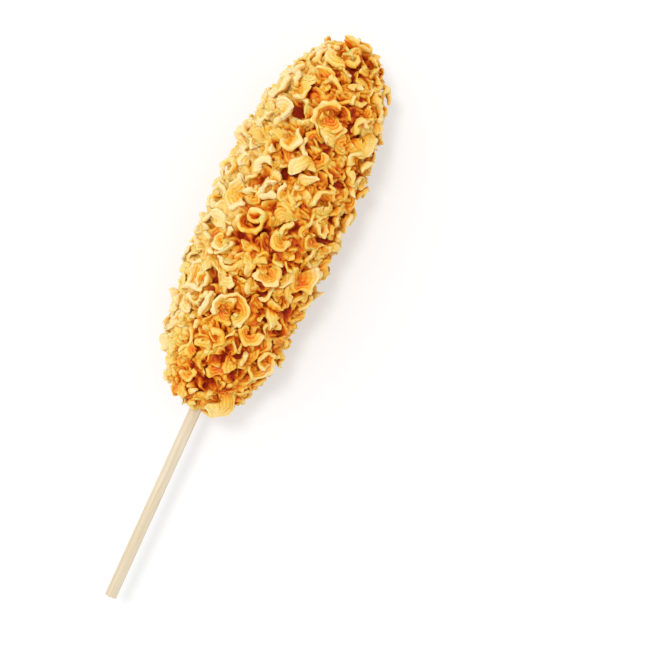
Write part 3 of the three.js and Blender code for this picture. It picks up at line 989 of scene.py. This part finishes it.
def noodle_material():
    """Golden noodles: paler on top, partly as painted light, with painted highlights on the rims, painted
    light down the left flank and painted shade in the crevices.
    """
    nodes = Nodes("fried_noodle")
    height, tint, rim_highlight, inner_amber_and_shade = nodes.marks()
    patches, fine = nodes.noise(PATCH_SIZE), nodes.noise(0.8)
    painted_flank_light, gap_shade = nodes.painted_flank_light(), nodes.gap_shade(2.0)
    # Painted light and shade: a highlight on the rims, light down the left flank and on faces turned out,
    # shade inside the cups, in the rib grooves, on faces turned in, in the gaps and, in part, low in the
    # crust.
    level = nodes.total(
        (height, 0.85), (patches, 1.25, 0.5), (tint, 0.25, 0.5), (fine, 0.25, 0.5),
        (inner_amber_and_shade, -0.27), (nodes.crest(), 0.08), (painted_flank_light, 0.4), (rim_highlight, 0.25),
        (nodes.facing_shade(), 0.15, 0.4), (nodes.browning(), -0.09), (gap_shade, -0.22),
    )
    fried = nodes.ramp(
        level,
        (0.0, 216, 94, 4),
        (0.2, 230, 144, 18),
        (0.4, 229, 175, 50),
        (0.65, 230, 194, 102),
        (1.0, 232, 209, 154),
    )
    # Painted shade: deep in the gaps the colour turns to this saturated orange, which stands in for light
    # bounced round in them.
    gap_shade_colour = nodes.ramp(
        nodes.total((patches, 1.0), (painted_flank_light, 0.2)),
        (0.4, 226, 96, 4),
        (0.6, 248, 156, 28),
        (0.75, 250, 186, 76),
    )
    colour = nodes.mix(nodes.rising(gap_shade, 0.28, 0.8, top=0.9), fried, gap_shade_colour)
    roughness = nodes.math("MULTIPLY_ADD", fine, 0.3, 0.38)
    nodes.bump((nodes.noise(1.6), 0.3), (nodes.noise(0.5, 2.0), 0.1))
    return nodes.finish(colour, roughness, Specular_IOR_Level=0.3, Subsurface_Weight=0.7,
                        Subsurface_Radius=(1.0, 0.55, 0.12), Subsurface_Scale=1.7 * MM)


def batter_material():
    """Red-brown batter, golden on its ridges, with painted light that makes it paler down the left flank and
    painted shade that darkens it in the crevices.
    """
    nodes = Nodes("fried_batter")
    height, tint, _, _ = nodes.marks()
    # Painted light down the left flank and painted shade in the gaps.
    level = nodes.total(
        (height, 1.0), (nodes.noise(PATCH_SIZE), 1.0, 0.5), (tint, 0.3, 0.5),
        (nodes.painted_flank_light(), 0.6), (nodes.browning(), -0.12), (nodes.gap_shade(3.0), -0.3),
    )
    colour = nodes.ramp(
        level,
        (0.0, 156, 36, 0),
        (0.2, 200, 80, 2),
        (0.4, 222, 128, 14),
        (0.65, 233, 174, 54),
        (0.95, 238, 202, 112),
    )
    nodes.bump((nodes.noise(2.0, 4.0), 0.5), (nodes.noise(0.5), 0.15))
    return nodes.finish(colour, 0.6, Specular_IOR_Level=0.2, Subsurface_Weight=0.3,
                        Subsurface_Radius=(1.0, 0.4, 0.08), Subsurface_Scale=1.2 * MM)


def bamboo_material():
    """Pale bamboo, with fibres and wider bands along it."""
    nodes = Nodes("bamboo")
    stretched = {"Vector": nodes.place(), "Scale": (1.0, 0.025, 1.0)}
    place = nodes.node("ShaderNodeMapping", stretched).outputs[0]
    fibres = nodes.noise(0.35, vector=place)
    bands = nodes.noise(1.6, 2.0, vector=place)
    colour = nodes.ramp(
        nodes.total((fibres, 0.6), (bands, 0.4)),
        (0.25, 190, 165, 128),
        (0.5, 210, 195, 168),
        (0.75, 221, 210, 190),
    )
    nodes.bump((fibres, 0.12))
    return nodes.finish(colour, 0.62, Specular_IOR_Level=0.3)


def floor_material():
    """A pale floor that shines a little by itself, so that it is white where no shadow falls."""
    nodes = Nodes("floor")
    grey = (FLOOR_GREY, FLOOR_GREY, FLOOR_GREY, 1.0)
    return nodes.finish(grey, 0.9, Specular_IOR_Level=0.1,
                        Emission_Color=(1.0, 1.0, 1.0, 1.0), Emission_Strength=FLOOR_GLOW)


# The scene.


def show(name, mesh, material, replaced):
    """Puts a mesh into the scene as a piece of the part."""
    piece = bpy.data.objects.new(name, mesh)
    bpy.context.scene.collection.objects.link(piece)
    mesh.materials.append(material)
    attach(piece, "root")
    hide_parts(replaced)


def stick_origin():
    """Where the food's own frame lies in the row frame: the stick's line, at the batter's blunt end."""
    low, high = map(np.array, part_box("stick"))
    return np.array([(low[0] + high[0]) / 2, low[1] + STICK_FREE_LENGTH * MM, (low[2] + high[2]) / 2])


def make_camera():
    """Straight down, with the corn dog leaning to the right as in the photograph."""
    low, _ = map(np.array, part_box("stick"))
    distance = IMAGE_WIDTH * MM * LENS / SENSOR
    data = bpy.data.cameras.new("camera")
    data.lens, data.sensor_width, data.sensor_fit = LENS, SENSOR, "HORIZONTAL"
    camera = bpy.data.objects.new("camera", data)
    camera.location = (ORIGIN[0] + STICK_END_TO_MIDDLE[0] * MM, low[1] + STICK_END_TO_MIDDLE[1] * MM,
                       ORIGIN[2] + distance)
    camera.rotation_euler = (0.0, 0.0, LEAN)
    bpy.context.scene.collection.objects.link(camera)
    bpy.context.scene.camera = camera


def make_lamp(name, towards, distance, size, power):
    """A round area lamp that shines on the middle of the food."""
    way = turn_matrix(2, LEAN)[:3, :3] @ towards
    way /= np.linalg.norm(way)
    data = bpy.data.lights.new(name, "AREA")
    data.shape, data.size, data.energy = "DISK", size, power
    lamp = bpy.data.objects.new(name, data)
    lamp.location = ORIGIN + [0.0, BATTER_LENGTH / 2 * MM, 0.0] + way * distance
    lamp.rotation_euler = Vector(way).to_track_quat("Z", "Y").to_euler()
    bpy.context.scene.collection.objects.link(lamp)


def make_floor():
    """The surface that the food lies on."""
    low, high = -FLOOR_REACH, FLOOR_REACH
    mesh = bpy.data.meshes.new("floor")
    mesh.from_pydata([(low, low, 0), (high, low, 0), (high, high, 0), (low, high, 0)], [], [(0, 1, 2, 3)])
    mesh.materials.append(floor_material())
    floor = bpy.data.objects.new("floor", mesh)
    bpy.context.scene.collection.objects.link(floor)


def make_light():
    """Soft light from the picture's upper left, in a white room."""
    world = bpy.data.worlds.new("world")
    world.use_nodes = True
    background = world.node_tree.nodes["Background"]
    background.inputs["Color"].default_value = (1.0, 1.0, 1.0, 1.0)
    background.inputs["Strength"].default_value = ROOM_LIGHT
    bpy.context.scene.world = world
    make_lamp("key", *KEY_LAMP)
    make_lamp("side", *SIDE_LAMP)
    bpy.context.scene.view_settings.view_transform = "Standard"
    bpy.context.scene.view_settings.look = "None"


def make_crust():
    """The batter and all its noodles, as one piece for each kind."""
    dice = Dice(FINE_SEED)
    layers, bare = set_all(dice)
    batches = {}
    for layer, pieces in layers:
        for piece in pieces:
            piece["tint"] = dice.roll()
            batch = batches.setdefault(layer.name + "_" + kind_of(piece), Batch())
            add_noodle(batch, piece, dice.roll(*layer.scale), layer.step, dice)
    batches["batter"] = batter_batch(bare, dice)
    for batch in batches.values():
        batch.move(warped)
    deepest = max(batch.depth() for batch in batches.values())
    noodle, batter = noodle_material(), batter_material()
    for name, batch in batches.items():
        batch.move(pressed, deepest)
        show(name, batch.mesh(name), batter if name == "batter" else noodle, "noodle_crust")


ORIGIN = stick_origin()
make_camera()
make_floor()
make_light()
make_crust()
show("bamboo_stick", stick_batch().mesh("bamboo_stick"), bamboo_material(), "stick")
